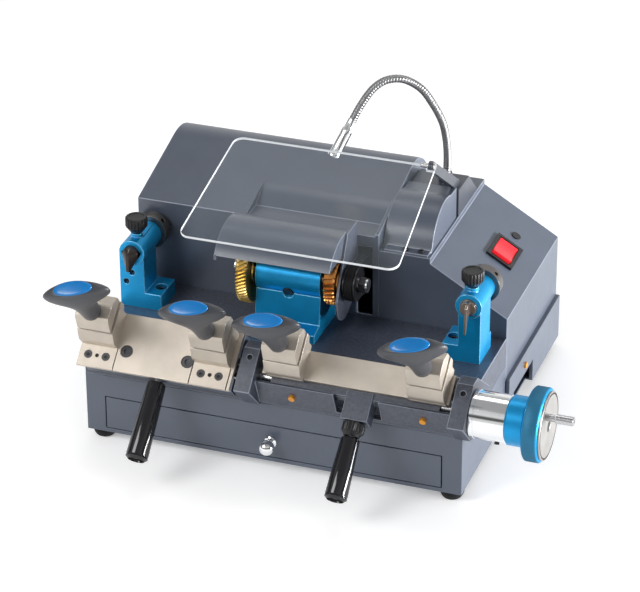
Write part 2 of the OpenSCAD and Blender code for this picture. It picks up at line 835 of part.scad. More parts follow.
module left_plate() {
    color("linen") on_carriage() difference() {
        block([-182, -24, plate_bottom], [-31.6, 34, plate_top]);
        for (x = [vise_x[0], vise_x[1]])
            block([x - vise_w / 2 - 1.2, -25, plate_bottom + 1], [x + vise_w / 2 + 1.2, -2, plate_top + 1]);
        for (x = [-141, -79]) translate([x, -3, plate_bottom + 1.4]) cylinder(r = 6.2, h = 5);
    }
}

// threaded hole of a clamp stud, drawn plain
module stud_hole(x) {
    translate([x, knob_s, plate_top + 4]) cylinder(r = stud_r + thread_gap, h = 40);
}

// fixed lower jaw of a vise, with its front strip
module jaw_base(x) {
    x0 = x - vise_w / 2;
    x1 = x + vise_w / 2;
    x_profile([[-2, plate_top], [-2, 26.5], [4, jaw_base_top], [38, jaw_base_top], [38, 30],
        [33, 26], [33, plate_top]], x0, x1);
}

module left_jaw_bases() {
    color("antiquewhite") on_carriage() difference() {
        union() for (x = [vise_x[0], vise_x[1]]) {
            jaw_base(x);
            block([x - vise_w / 2 - 0.3, -24, plate_bottom + 1], [x + vise_w / 2 + 0.3, -2, plate_top]);
        }
        for (x = [vise_x[0], vise_x[1]]) {
            for (dx = [-9, 9]) translate([x + dx, -12, plate_top - 1.6]) cylinder(r = 4.2, h = 3);
            translate([x, -12, plate_top - 2]) cylinder(r = 2, h = 3);
            stud_hole(x);
        }
    }
}

module left_plate_screws() {
    color("black") on_carriage() {
        for (x = [-141, -79]) translate([x, -3, plate_bottom + 1.4]) difference() {
            cylinder(r = 5.9, h = 2.2);
            translate([0, 0, 0.8]) cylinder(r = 3, h = 3, $fn = 6);
        }
        for (x = [vise_x[0], vise_x[1]], dx = [-9, 9])
            translate([x + dx, -12, plate_top - 1.6]) difference() {
                cylinder(r = 4, h = 1.4);
                translate([0, 0, 0.5]) cylinder(r = 2, h = 3, $fn = 6);
            }
    }
}

module lever_grip(from_s, to_s) {
    rotate([90, 0, 0]) translate([0, 0, from_s]) {
        cylinder(r1 = 9, r2 = 11, h = to_s - from_s - 5);
        translate([0, 0, to_s - from_s - 5.1]) cylinder(r = 11, h = 2.6);
        translate([0, 0, to_s - from_s - 2.6]) cylinder(r1 = 11, r2 = 8.4, h = 2.6);
    }
}

left_lever_x = -106;
right_lever_x = vise_x[3] - 66;

module left_lever() {
    color("black") on_carriage() translate([left_lever_x, 0, lever_axis_n + 2]) {
        rotate([90, 0, 0]) translate([0, 0, 24]) cylinder(r = 4, h = 4);
        lever_grip(26, lever_end_s - 3);
    }
}

module right_carriage() {
    color("dimgray") on_carriage() difference() {
        union() {
            x_rod(bar_bottom, 4, 170);
            block([4, -8, 0], [170, 26, bar_bottom]);
            block([right_lever_x - 13, -30, -7], [right_lever_x + 13, -1.5, 12]);
        }
        x_rod(shaft_r + fit, 0, 180);
        translate([right_lever_x, -31, lever_axis_n]) rotate([-90, 0, 0]) cylinder(r = 4, h = 14);
    }
}

module right_bar() {
    color("linen") on_carriage() difference() {
        union() {
            block([-4.5, -1, bar_bottom], [179.5, 28, plate_top]);
            for (x = [vise_x[2], vise_x[3]]) {
                jaw_base(x);
                block([x - vise_w / 2, -1.9, bar_bottom + 0.2], [x + vise_w / 2, 10, plate_top + 1]);
            }
        }
        for (x = [vise_x[2], vise_x[3]])
            stud_hole(x);
    }
}

module right_lever() {
    color("black") on_carriage() translate([right_lever_x, 0, lever_axis_n]) {
        rotate([90, 0, 0]) translate([0, 0, 18]) cylinder(r = 4, h = 28);
        lever_grip(45.5, lever_end_s);
    }
}

module lever_lock_knob() {
    color("black") on_carriage() translate([right_lever_x, 0, lever_axis_n]) rotate([90, 0, 0])
        translate([0, 0, 31]) difference() {
            union() {
                cylinder(r = 11, h = 10);
                translate([0, 0, 9.9]) cylinder(r1 = 10, r2 = 7, h = 4);
            }
            translate([0, 0, -1]) cylinder(r = 4 + fit, h = 20);
            translate([0, 0, -1]) flutes(12);
        }
}

// moving upper jaw
module clamp_jaw(i) {
    x = vise_x[i];
    z0 = jaw_base_top + jaw_gap;
    color("antiquewhite") on_carriage() difference() {
        x_profile([[4.5, z0], [10, jaw_top - 3], [13, jaw_top], [29, jaw_top], [38, jaw_top - 8],
            [38, z0]], x - vise_w / 2 + 1, x + vise_w / 2 - 1);
        translate([x, knob_s, z0 - 1]) cylinder(r = stud_r + fit, h = 40);
    }
}

module clamp_knob(i) {
    x = vise_x[i];
    stem_h = knob_h - 13;
    color("dimgray") on_carriage() translate([x, knob_s, 0]) {
        translate([0, 0, jaw_base_top - 14]) cylinder(r = stud_r, h = jaw_top - jaw_base_top + 15);
        translate([0, 0, jaw_top + 0.3]) cylinder(r1 = 8, r2 = 9, h = 4);
        translate([0, 0, jaw_top + 4.2]) cylinder(r1 = 9, r2 = 14, h = stem_h - 4);
        translate([0, 0, knob_top - 13]) rotate([0, 0, wing_turn[i]]) hull() {
            translate([-wing_l / 2 + 4, 0, 0]) cylinder(r = 4, h = 8, $fn = 32);
            cylinder(r = 11, h = 12, $fn = 32);
            translate([wing_l / 2 - 4, 0, 0]) cylinder(r = 4, h = 8, $fn = 32);
        }
        translate([0, 0, knob_top - 1.1]) rotate([0, 0, wing_turn[i]]) linear_extrude(1.1)
            polygon([for (a = [0:12:348]) [18 * cos(a), 6.8 * sin(a)]]);
    }
}

module clamp_jaw_1() { clamp_jaw(0); }
module clamp_jaw_2() { clamp_jaw(1); }
module clamp_jaw_3() { clamp_jaw(2); }
module clamp_jaw_4() { clamp_jaw(3); }
module clamp_knob_1() { clamp_knob(0); }
module clamp_knob_2() { clamp_knob(1); }
module clamp_knob_3() { clamp_knob(2); }
module clamp_knob_4() { clamp_knob(3); }

centred() cabinet();
centred() feet();
centred() bed_casting();
centred() brass_plugs();
centred() black_screws();
centred() cap_screws();
centred() feed_sleeve();
centred() spindle_block();
centred() spindle_bearings();
centred() left_gauge_block();
centred() right_gauge_block();
centred() motor_cover();
centred() switch_housing();
centred() belt_cover();
centred() cutter_guard();
centred() belt_guard();
centred() rear_bracket();
centred() gooseneck();
centred() lamp_head();
centred() motor_body();
centred() drive_belt();
centred() switch_bezel();
centred() mains_inlet();
centred() drawer_box();
centred() drawer_knob();
centred() spindle_shaft();
centred() slotting_cutter();
centred() milling_cutter();
centred() cutter_nuts();
centred() spindle_pulley();
centred() motor_rotor();
centred() handwheel();
centred() dial_ring();
centred() crank_cap();
centred() cross_shaft();
centred() left_carriage();
centred() left_plate();
centred() left_jaw_bases();
centred() left_plate_screws();
centred() left_lever();
centred() right_carriage();
centred() right_bar();
centred() right_lever();
centred() lever_lock_knob();
centred() clamp_jaw_1();
centred() clamp_jaw_2();
centred() clamp_jaw_3();
centred() clamp_jaw_4();
centred() clamp_knob_1();
centred() clamp_knob_2();
centred() clamp_knob_3();
centred() clamp_knob_4();
centred() left_tracer();
centred() right_tracer();
centred() left_gauge_ring();
centred() right_gauge_ring();
centred() left_gauge_knob();
centred() right_gauge_knob();
centred() shield();
centred() rocker();
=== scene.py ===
"""Looks of the key duplicating machine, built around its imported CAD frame.

Bare lengths are millimetres. Points are given in the machine's own frame (x = 0 at the middle
of the cabinet, y = 0 at its front face, z = 0 on the bench), which at() turns into the shared
frame, or on the carriages, which on_carriage() does. Profiles are pairs of height along the
axis and radius.
"""

import json
import math

import bmesh
import bpy
from mathutils import Matrix, Vector


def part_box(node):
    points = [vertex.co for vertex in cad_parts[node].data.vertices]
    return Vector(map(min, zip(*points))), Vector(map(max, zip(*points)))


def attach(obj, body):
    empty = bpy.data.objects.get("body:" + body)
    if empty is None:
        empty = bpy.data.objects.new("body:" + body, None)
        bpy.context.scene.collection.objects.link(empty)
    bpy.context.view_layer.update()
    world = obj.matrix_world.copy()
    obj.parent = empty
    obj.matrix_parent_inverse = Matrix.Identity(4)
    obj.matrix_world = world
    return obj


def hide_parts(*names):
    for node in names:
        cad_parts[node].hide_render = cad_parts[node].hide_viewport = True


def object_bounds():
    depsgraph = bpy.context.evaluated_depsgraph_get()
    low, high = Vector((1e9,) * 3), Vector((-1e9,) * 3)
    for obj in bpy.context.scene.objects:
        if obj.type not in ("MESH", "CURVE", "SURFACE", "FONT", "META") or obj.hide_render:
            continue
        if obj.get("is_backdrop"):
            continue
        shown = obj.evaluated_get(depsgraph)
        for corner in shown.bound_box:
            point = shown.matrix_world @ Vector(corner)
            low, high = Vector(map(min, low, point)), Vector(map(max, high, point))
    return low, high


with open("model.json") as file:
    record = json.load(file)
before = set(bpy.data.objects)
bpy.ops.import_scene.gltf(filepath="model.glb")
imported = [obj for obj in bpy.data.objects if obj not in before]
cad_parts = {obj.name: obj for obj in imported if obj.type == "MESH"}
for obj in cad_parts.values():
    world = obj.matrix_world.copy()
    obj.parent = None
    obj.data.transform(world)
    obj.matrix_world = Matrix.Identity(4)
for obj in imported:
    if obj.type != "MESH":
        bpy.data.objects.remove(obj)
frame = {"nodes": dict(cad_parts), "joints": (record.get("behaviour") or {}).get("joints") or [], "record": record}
cad_low, cad_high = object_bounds()

MM = 0.001
TAU = 2 * math.pi
X_AXIS = (1, 0, 0)
Z_AXIS = (0, 0, 1)
cabinet_low, cabinet_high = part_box("cabinet")
ORIGIN = Vector(((cabinet_low.x + cabinet_high.x) / 2, cabinet_low.y, 0))
JOINTS = {j["name"]: j for j in frame["joints"]}
SLOTS = {s["node"]: s["material_slot"] for s in frame["record"]["subparts"]}
BODY_OF = {
    n: b for b, ns in frame["record"]["behaviour"]["bodies"].items() for n in ns
}

# carriage axes: X, up the slope, square to the plate; their origin is the cross shaft
PIVOT = Vector(JOINTS["left_table_rock"]["pos_m"])
PIVOT.x = ORIGIN.x
SQUARE = Vector(JOINTS["jaw_1_lift"]["axis"])
SLOPE = SQUARE.cross(Vector((1, 0, 0)))


def at(x, y, z):
    """A point of the machine's own frame, in the shared frame."""
    return ORIGIN + Vector((x, y, z)) * MM


def on_carriage(x, s, n):
    """A point given along X, up the slope and square to the carriage."""
    return PIVOT + (Vector((x, 0, 0)) + SLOPE * s + SQUARE * n) * MM


def centre(node):
    low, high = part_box(node)
    return (low + high) / 2


def x_of(node):
    """The middle of a node along X, in mm from the middle of the cabinet."""
    return (centre(node).x - ORIGIN.x) / MM


# ---------- materials ----------

RAMP_ENDS = (0.3, 0.7)
BUMP_STRENGTH = 0.5


class Nodes:
    """One node material with its Principled shader."""

    def __init__(self, name, color, rough, metal=0.0, **extra):
        self.mat = bpy.data.materials.new(name)
        self.mat.use_nodes = True
        self.tree = self.mat.node_tree
        self.bsdf = self.tree.nodes["Principled BSDF"]
        self.set("Base Color", (*color, 1))
        self.set("Roughness", rough)
        self.set("Metallic", metal)
        for key, value in extra.items():
            self.set(key.replace("_", " "), value)
        self.color = color
        self.coord = self.tree.nodes.new("ShaderNodeTexCoord")

    def set(self, socket, value):
        self.bsdf.inputs[socket].default_value = value

    def add(self, kind, **values):
        node = self.tree.nodes.new(kind)
        for key, value in values.items():
            node.inputs[key].default_value = value
        return node

    def link(self, out, into):
        self.tree.links.new(out, into)

    def scaled(self, scale):
        mapping = self.add("ShaderNodeMapping", Scale=scale)
        self.link(self.coord.outputs["Object"], mapping.inputs["Vector"])
        return mapping.outputs["Vector"]

    def noise(self, scale, detail=4.0, stretch=(1, 1, 1)):
        node = self.add("ShaderNodeTexNoise", Scale=scale, Detail=detail)
        self.link(self.scaled(stretch), node.inputs["Vector"])
        return node.outputs["Fac"]

    def ramp(self, fac, low, high):
        node = self.add("ShaderNodeValToRGB")
        for stop, position, color in zip(node.color_ramp.elements, RAMP_ENDS, (low, high)):
            stop.position = position
            stop.color = (*color, 1)
        self.link(fac, node.inputs["Fac"])
        return node.outputs["Color"]

    def tint(self, fac, spread):
        """Varies the base colour by the given share along fac."""
        low = tuple(c * (1 - spread) for c in self.color)
        high = tuple(min(1, c * (1 + spread)) for c in self.color)
        self.link(self.ramp(fac, low, high), self.bsdf.inputs["Base Color"])
        return self

    def rough(self, fac, low, high):
        """Varies the roughness between low and high along fac."""
        node = self.add("ShaderNodeMapRange")
        node.inputs["To Min"].default_value = low
        node.inputs["To Max"].default_value = high
        self.link(fac, node.inputs["Value"])
        self.link(node.outputs["Result"], self.bsdf.inputs["Roughness"])
        return self

    def bump(self, fac, depth, strength=BUMP_STRENGTH):
        """depth is in mm."""
        node = self.add("ShaderNodeBump", Distance=depth * MM, Strength=strength)
        self.link(fac, node.inputs["Height"])
        self.link(node.outputs["Normal"], self.bsdf.inputs["Normal"])


def paint(name, color, grain=1400, depth=0.05, rough=0.32, mottle=(30, 0.07)):
    """mottle is the scale and the share of the colour patches."""
    m = Nodes(name, color, rough, Specular_IOR_Level=0.7)
    m.tint(m.noise(mottle[0]), mottle[1])
    fine = m.noise(grain, 2)
    m.rough(m.noise(60), rough - 0.05, rough + 0.08).bump(fine, depth)
    return m.mat


def brushed(name, color, rough, stretch, spread=0.06, metal=1.0):
    m = Nodes(name, color, rough, metal)
    lines = m.noise(500, 5, stretch)
    m.tint(m.noise(55), spread).rough(lines, rough - 0.06, rough + 0.1)
    m.bump(lines, 0.03, 0.35)
    return m.mat


def plastic(name, color, rough, grain, depth, **extra):
    m = Nodes(name, color, rough, **extra)
    m.tint(m.noise(80), 0.05).rough(m.noise(140), rough, rough + 0.08)
    m.bump(m.noise(grain, 2), depth)
    return m.mat


def glowing(name, color, strength):
    m = Nodes(name, color, 0.3)
    m.tint(m.noise(200), 0.05)
    m.set("Emission Color", (*color, 1))
    m.set("Emission Strength", strength)
    return m.mat


def clear_sheet(name, color, alpha, rough):
    m = Nodes(name, color, rough, Alpha=alpha, Specular_IOR_Level=0.1)
    m.tint(m.noise(12), 0.02).rough(m.noise(40), rough, rough + 0.03)
    return m.mat


ALONG_X = (0.03, 1, 1)
BLUE = (0.004, 0.29, 0.61)
LOOKS = {
    "body_paint": paint("body_paint", (0.070, 0.086, 0.119)),
    "casting_paint": paint("casting_paint", (0.046, 0.055, 0.080), 700, 0.22, 0.38, (330, 0.3)),
    "blue_anodised": brushed("blue_anodised", BLUE, 0.33, ALONG_X, 0.1, 0.55),
    "nickel": brushed("nickel", (0.52, 0.465, 0.40), 0.38, (0.05, 1, 1), 0.07, 0.65),
    "steel": brushed("steel", (0.50, 0.50, 0.51), 0.24, (1, 0.05, 1)),
    "chrome": brushed("chrome", (0.86, 0.87, 0.88), 0.10, ALONG_X, 0.02),
    "aluminium": brushed("aluminium", (0.80, 0.80, 0.82), 0.28, (1, 1, 1)),
    "brass": brushed("brass", (0.78, 0.55, 0.18), 0.28, (1, 1, 0.1), 0.12),
    "copper": brushed("copper", (0.70, 0.31, 0.09), 0.32, (1, 1, 0.1), 0.12),
    "black_plastic": plastic("black_plastic", (0.007, 0.007, 0.009), 0.07, 90, 0.02),
    "grey_plastic": plastic("grey_plastic", (0.042, 0.044, 0.051), 0.38, 2200, 0.05),
    "black_metal": plastic("black_metal", (0.022, 0.022, 0.024), 0.34, 900, 0.05, Metallic=0.5),
    "rubber": plastic("rubber", (0.008, 0.008, 0.009), 0.6, 1200, 0.1, Specular_IOR_Level=0.2),
    "clear": clear_sheet("clear", (0.80, 0.88, 0.95), 0.028, 0.05),
    "red_plastic": glowing("red_plastic", (0.85, 0.02, 0.03), 0.35),
    "tracer_steel": brushed("tracer_steel", (0.30, 0.25, 0.22), 0.3, (1, 1, 0.1)),
}
# paler copies of the paint and the anodising for the rounded edges: painted edge highlights
PAINT_EDGE_HIGHLIGHT = paint("paint_edge_highlight", (0.20, 0.225, 0.28), 900, 0.03, 0.3)
BLUE_EDGE_HIGHLIGHT = brushed("blue_edge_highlight", (0.16, 0.50, 0.78), 0.25, ALONG_X, 0.03, 0.4)
INSERT = plastic("insert_blue", (0.0, 0.16, 0.46), 0.2, 300, 0.01)
LED = glowing("warm_led", (1.0, 0.80, 0.45), 6.0)
# the shield's rounded edge glows: painted light for the bright rim of the clear sheet
SHEET_EDGE_GLOW = glowing("painted_sheet_edge_glow", (0.66, 0.69, 0.72), 0.12)
KNURL_BLUE = brushed("knurled_blue", (0.015, 0.15, 0.27), 0.45, (1, 1, 1), 0.1, 0.4)
# near black, put in holes, sockets and grooves: painted shade
PAINTED_RECESS_SHADE = plastic("painted_recess_shade", (0.006, 0.006, 0.008), 0.5, 500, 0.02)
SCREW_STEEL = brushed("screw_steel", (0.07, 0.07, 0.075), 0.3, (1, 1, 1), 0.1, 0.85)
BRACKET_PAINT = paint("bracket_paint", (0.034, 0.041, 0.057), 700, 0.1)
DISC_STEEL = brushed("disc_steel", (0.40, 0.385, 0.37), 0.34, (1, 1, 0.1), 0.1, 0.9)
HOSE_STEEL = brushed("hose_steel", (0.26, 0.26, 0.265), 0.3, (1, 1, 1), 0.1, 0.95)
DARK_PULLEY = brushed("dark_pulley", (0.05, 0.05, 0.055), 0.3, (0.1, 1, 1), 0.1, 0.8)
RING_STEEL = brushed("ring_steel", (0.16, 0.15, 0.145), 0.3, (1, 0.1, 1), 0.12, 0.9)
DARK_TRACER = plastic("dark_tracer", (0.035, 0.028, 0.026), 0.25, 600, 0.03, Metallic=0.4)
PLUG_ORANGE = brushed("plug_orange", (0.72, 0.30, 0.03), 0.35, (1, 1, 1), 0.1, 0.5)
# the painted edge highlight that goes with each look
EDGE_HIGHLIGHT = {
    "body_paint": PAINT_EDGE_HIGHLIGHT,
    "casting_paint": PAINT_EDGE_HIGHLIGHT,
    "blue_anodised": BLUE_EDGE_HIGHLIGHT,
}


# ---------- mesh building ----------


class Shape:
    """Collects faces, then becomes one object."""

    def __init__(self):
        self.verts, self.faces, self.looks = [], [], []

    def face(self, indices, look):
        self.faces.append(indices)
        self.looks.append(look)

    def loft(self, rings, look=0, caps=(True, True)):
        """Joins rings of equal length with quads. look is a number or one for each band."""
        start, count = len(self.verts), len(rings[0])
        for ring in rings:
            self.verts.extend(ring)
        bands = len(rings) - 1
        shades = look if isinstance(look, list) else [look] * bands
        for i, shade in enumerate(shades):
            a = start + i * count
            b = a + count
            for k in range(count):
                m = (k + 1) % count
                self.face([a + k, a + m, b + m, b + k], shade)
        if caps[0]:
            self.face([start + k for k in range(count - 1, -1, -1)], shades[0])
        if caps[1]:
            end = start + bands * count
            self.face([end + k for k in range(count)], shades[-1])
        return self

    def lathe(self, base, axis, profile, look=0, sides=96, shape=None, caps=(True, True)):
        """Turns profile, pairs of height and radius in mm, about an axis through base."""
        w = Vector(axis).normalized()
        u = w.orthogonal().normalized()
        v = w.cross(u)
        rings = []
        for height, radius in profile:
            ring = []
            for k in range(sides):
                angle = TAU * k / sides
                r = shape(angle, height, radius) if shape else radius
                out = u * math.cos(angle) + v * math.sin(angle)
                ring.append(base + (w * height + out * r) * MM)
            rings.append(ring)
        return self.loft(rings, look, caps)

    def piece(self, name, body, looks, replaces, sharp, slot=None):
        """Makes the object; sharp is the angle in degrees above which edges stay sharp."""
        mesh = bpy.data.meshes.new(name)
        mesh.from_pydata([tuple(v) for v in self.verts], [], self.faces)
        for look in looks:
            mesh.materials.append(look)
        mesh.polygons.foreach_set("material_index", self.looks)
        work = bmesh.new()
        work.from_mesh(mesh)
        bmesh.ops.recalc_face_normals(work, faces=work.faces)
        work.to_mesh(mesh)
        work.free()
        mesh.polygons.foreach_set("use_smooth", [True] * len(mesh.polygons))
        mesh.set_sharp_from_angle(angle=math.radians(sharp))
        mesh.update()
        obj = bpy.data.objects.new(name, mesh)
        bpy.context.scene.collection.objects.link(obj)
        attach(obj, body)
        if replaces:
            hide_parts(*replaces)


BEVEL_SEGMENTS = 2
BEVEL_ANGLE = math.radians(32)
NORMAL_WEIGHT = 90
WELD_DISTANCE = 0.002 * MM
FLAT_ANGLE = math.radians(0.5)


def soften(obj, width, edge_look):
    """Rounds the sharp edges; edge_look is the rounded edges' slot, for a painted highlight, or None."""
    bevel = obj.modifiers.new("round", "BEVEL")
    bevel.width = width * MM
    bevel.segments = BEVEL_SEGMENTS
    bevel.limit_method = "ANGLE"
    bevel.angle_limit = BEVEL_ANGLE
    bevel.use_clamp_overlap = False
    bevel.miter_outer = "MITER_ARC"
    if edge_look is not None:
        bevel.material = edge_look
    weighted = obj.modifiers.new("shade", "WEIGHTED_NORMAL")
    weighted.keep_sharp = False
    weighted.weight = NORMAL_WEIGHT


def dress(node, width, look, edge):
    """Gives a CAD node its material and edges rounded by width in mm; 0 leaves it flat.

    look takes the place of the slot's own look. edge allows a paler material on the rounded edges: a painted
    highlight.
    """
    obj = frame["nodes"][node]
    slot = SLOTS[node]
    obj.data.materials.clear()
    obj.data.materials.append(look or LOOKS[slot])
    if "custom_normal" in obj.data.attributes:
        obj.data.attributes.remove(obj.data.attributes["custom_normal"])
    obj.data.polygons.foreach_set("material_index", [0] * len(obj.data.polygons))
    obj.data.polygons.foreach_set("use_smooth", [width > 0] * len(obj.data.polygons))
    if width == 0:
        return
    weld = obj.modifiers.new("weld", "WELD")
    weld.merge_threshold = WELD_DISTANCE
    flat = obj.modifiers.new("flat", "DECIMATE")
    flat.decimate_type = "DISSOLVE"
    flat.angle_limit = FLAT_ANGLE
    edge_look = None
    # the rounded edges get the painted highlight as a second material
    if edge and look is None and slot in EDGE_HIGHLIGHT:
        obj.data.materials.append(EDGE_HIGHLIGHT[slot])
        edge_look = 1
    soften(obj, width, edge_look)


OUTLINE_SIDES = 64


def superellipse(a, b, power):
    """Points of an oval with half axes a and b; power 2 is a plain ellipse."""
    points = []
    for k in range(OUTLINE_SIDES):
        angle = TAU * k / OUTLINE_SIDES
        c, s = math.cos(angle), math.sin(angle)
        x = math.copysign(abs(c) ** (2 / power), c) * a
        y = math.copysign(abs(s) ** (2 / power), s) * b
        points.append((x, y))
    return points


def dent(angle, count):
    """0 on the ridges and 1 in the grooves of count flutes round an axis."""
    return 0.5 - 0.5 * math.cos(count * angle)


# ---------- CAD nodes that keep their shape ----------

# nodes whose edges stay the colour of their faces, without the painted edge highlight
PLAIN_EDGES = ("cabinet", "drawer_box", "motor_body")
OTHER_LOOKS = {
    "left_plate_screws": SCREW_STEEL,
    "cap_screws": SCREW_STEEL,
    "left_gauge_ring": RING_STEEL,
    "right_gauge_ring": RING_STEEL,
    "left_tracer": DARK_TRACER,
    "brass_plugs": PLUG_ORANGE,
    "spindle_pulley": DARK_PULLEY,
    "cutter_nuts": SCREW_STEEL,
    "rear_bracket": BRACKET_PAINT,
}
# bevel width in mm, and the nodes that get it
DRESSED = {
    0.7: ["bed_casting", "motor_cover", "switch_housing", "belt_cover"],
    0.55: ["cabinet", "left_gauge_block", "right_gauge_block", "spindle_block"],
    0.5: ["left_carriage", "right_carriage", "cutter_guard", "rear_bracket"],
    0.45: [f"clamp_jaw_{i}" for i in range(1, 5)],
    0.35: ["left_plate", "right_bar", "belt_guard", "motor_body", "drawer_box"],
    0: ["left_jaw_bases"],
    0.3: ["switch_bezel", "rocker", "mains_inlet", "left_tracer", "left_gauge_ring"],
    0.28: ["right_gauge_ring", "spindle_pulley", "motor_rotor", "cross_shaft"],
    0.25: ["cap_screws", "left_plate_screws", "cutter_nuts", "spindle_shaft", "right_tracer"],
    0.2: ["black_screws", "brass_plugs", "spindle_bearings", "drive_belt"],
}
for edge_width, node_names in DRESSED.items():
    for node_name in node_names:
        pale = node_name not in PLAIN_EDGES
        dress(node_name, edge_width, OTHER_LOOKS.get(node_name), pale)


# ---------- clamp knobs ----------

# height above the jaw, half length, half width, and power of the superellipse
KNOB_SECTIONS = [
    (0.3, 5.5, 5.5, 2), (0.9, 8.0, 8.0, 2), (3, 9.4, 9.4, 2), (12, 9.7, 9.7, 2),
    (22, 10.2, 10.0, 2), (30, 11.6, 10.4, 2), (36, 14.6, 10.8, 2), (41, 19.4, 11.0, 1.95),
    (45, 24.4, 11.0, 1.9), (48.5, 28.4, 10.8, 1.85), (52, 31.2, 10.4, 1.8), (55.5, 32.3, 9.9, 1.75),
    (58.5, 32.4, 9.3, 1.75), (61.2, 31.4, 8.5, 1.75), (63.2, 28.6, 7.7, 1.8),
    (64.4, 24.5, 7.7, 1.85), (64.8, 19.2, 7.5, 2),
]
INSERT_SECTIONS = [
    (64.1, 18.6, 7.3, 2), (65.1, 18.5, 7.2, 2), (65.6, 17.9, 6.7, 2), (65.9, 13, 4.7, 2),
    (66, 6, 2, 2),
]
WING_REACH = 32.4
# how far the wing tips hang, all of it from DROOP_HEIGHT upwards
KNOB_DROOP = 6.5
INSERT_DROOP = 3.2
DROOP_HEIGHT = 50
# the jaw's top and the stud's place up the slope, on the carriage
KNOB_BASE = 57.0
KNOB_S = 17.0
STUD_PROFILE = [(-19, 3.6), (-18.6, 4), (0.6, 4)]
# how far each wing is turned from square, in degrees
WING_TURN = (16, 10, 9, 14)


def knob_rings(x0, turn, sections, droop):
    """Outlines of a wing turned by turn degrees, whose tips hang by droop mm."""
    c, s = math.cos(math.radians(turn)), math.sin(math.radians(turn))
    rings = []
    for height, a, b, power in sections:
        ring = []
        for along, across in superellipse(a, b, power):
            sag = droop * (along / WING_REACH) ** 2 * min(1, height / DROOP_HEIGHT)
            x, y = along * c - across * s, along * s + across * c
            ring.append(on_carriage(x0 + x, KNOB_S + y, KNOB_BASE + height - sag))
        rings.append(ring)
    return rings


def clamp_knob(number, turn):
    node = f"clamp_knob_{number}"
    x0 = x_of(node)
    shape = Shape()
    shape.loft(knob_rings(x0, turn, KNOB_SECTIONS, KNOB_DROOP))
    shape.loft(knob_rings(x0, turn, INSERT_SECTIONS, INSERT_DROOP), look=1)
    stud_base = on_carriage(x0, KNOB_S, KNOB_BASE)
    shape.lathe(stud_base, SQUARE, STUD_PROFILE, look=2, sides=32)
    looks = [LOOKS["grey_plastic"], INSERT, LOOKS["steel"]]
    shape.piece(f"wing_knob_{number}", BODY_OF[node], looks, [node], sharp=50)


for index, turn in enumerate(WING_TURN):
    clamp_knob(index + 1, turn)


# ---------- painted shade in the strip holes and the hex sockets of the plate screws -----

# heights on the left carriage, and the strip's place down the slope
PLATE_TOP = 16.0
STRIP_S = -12
HOLE_FLOOR = PLATE_TOP - 2
SCREW_HEAD = PLATE_TOP - 1.1
SCREW_DX = 9
dots = Shape()
for node in ("clamp_jaw_1", "clamp_jaw_2"):
    x0 = x_of(node)
    hole = on_carriage(x0, STRIP_S, HOLE_FLOOR)
    dots.lathe(hole, SQUARE, [(0.02, 1.9), (0.25, 1.9)], sides=24)
    for dx in (-SCREW_DX, SCREW_DX):
        socket = on_carriage(x0 + dx, STRIP_S, SCREW_HEAD)
        dots.lathe(socket, SQUARE, [(0.02, 1.7), (0.12, 1.7)], sides=6)
dots.piece("painted_socket_shade", "left_table", [PAINTED_RECESS_SHADE], [], slot="black_metal", sharp=30)


# ---------- levers ----------

GRIP_THIN, GRIP_THICK = 9.0, 10.9
ROD_R = 4
ROD_END_R = 3.9


def grip_profile(start, end, thin, thick):
    """A grip that thickens towards its end, with a groove and a hollow in the end face."""
    return [
        (start, thin * 0.55), (start + 0.4, thin * 0.85), (start + 1.6, thin),
        (start + (end - start) * 0.5, (thin + thick) / 2 + 0.2), (end - 5.0, thick - 0.1),
        (end - 4.2, thick - 0.35), (end - 3.4, thick - 0.1), (end - 2.4, thick),
        (end - 1.2, thick - 1.4), (end - 0.4, thick - 2.2), (end, thick - 2.7),
        (end - 0.2, thick - 3.0), (end - 1.8, thick - 3.3), (end - 2.0, 0.5),
    ]


def lever(name, node, start, end, lift, rod_from):
    """A grip from start to end mm down the slope, on a rod; lift is its height on the carriage."""
    base = on_carriage(x_of(node), 0, lift)
    shape = Shape()
    shape.lathe(base, -SLOPE, grip_profile(start, end, GRIP_THIN, GRIP_THICK))
    rod = [(rod_from, ROD_END_R), (start + 1, ROD_R)]
    shape.lathe(base, -SLOPE, rod, look=1, sides=32)
    shape.piece(name, BODY_OF[node], [LOOKS["black_plastic"], LOOKS["steel"]], [node], sharp=45)


RIGHT_LIFT = 5
lever("left_grip", "left_lever", start=25.8, end=104, lift=7, rod_from=24)
lever("right_grip", "right_lever", start=45.5, end=107, lift=RIGHT_LIFT, rod_from=18)

# height along the right lever, and radius
LOCK_PROFILE = [
    (31, 8.5), (31.3, 10), (32.2, 10.9), (39.8, 10.9), (40.8, 10.2), (41.2, 9),
    (42.5, 8.2), (44.6, 7.4), (44.8, 4.2), (31, 4.15),
]
lock_base = on_carriage(x_of("lever_lock_knob"), 0, RIGHT_LIFT)


def lock_flutes(angle, height, radius):
    return radius - (0.9 * dent(angle, 14) ** 2 if radius > 9.5 else 0)


lock = Shape().lathe(
    lock_base, -SLOPE, LOCK_PROFILE, sides=168, shape=lock_flutes, caps=(False, False)
)
lock.piece("lock_knob", "lock_knob", [LOOKS["black_metal"]], ["lever_lock_knob"], sharp=30)


# ---------- gauge clamp knobs ----------

# height above the underside of the stem, and radius
GAUGE_PROFILE = [
    (0, 2.9), (6.5, 2.9), (6.6, 6), (7.6, 7.5), (10.6, 9.4), (11.6, 10.3), (12.4, 10.9),
    (20.4, 10.9), (21.4, 10.4), (21.9, 9.4), (21.9, 8.2), (21.2, 7.6), (21.1, 0.5),
]


def gauge_flutes(angle, height, radius):
    return radius - (0.85 * dent(angle, 20) ** 2 if radius > 10 else 0)


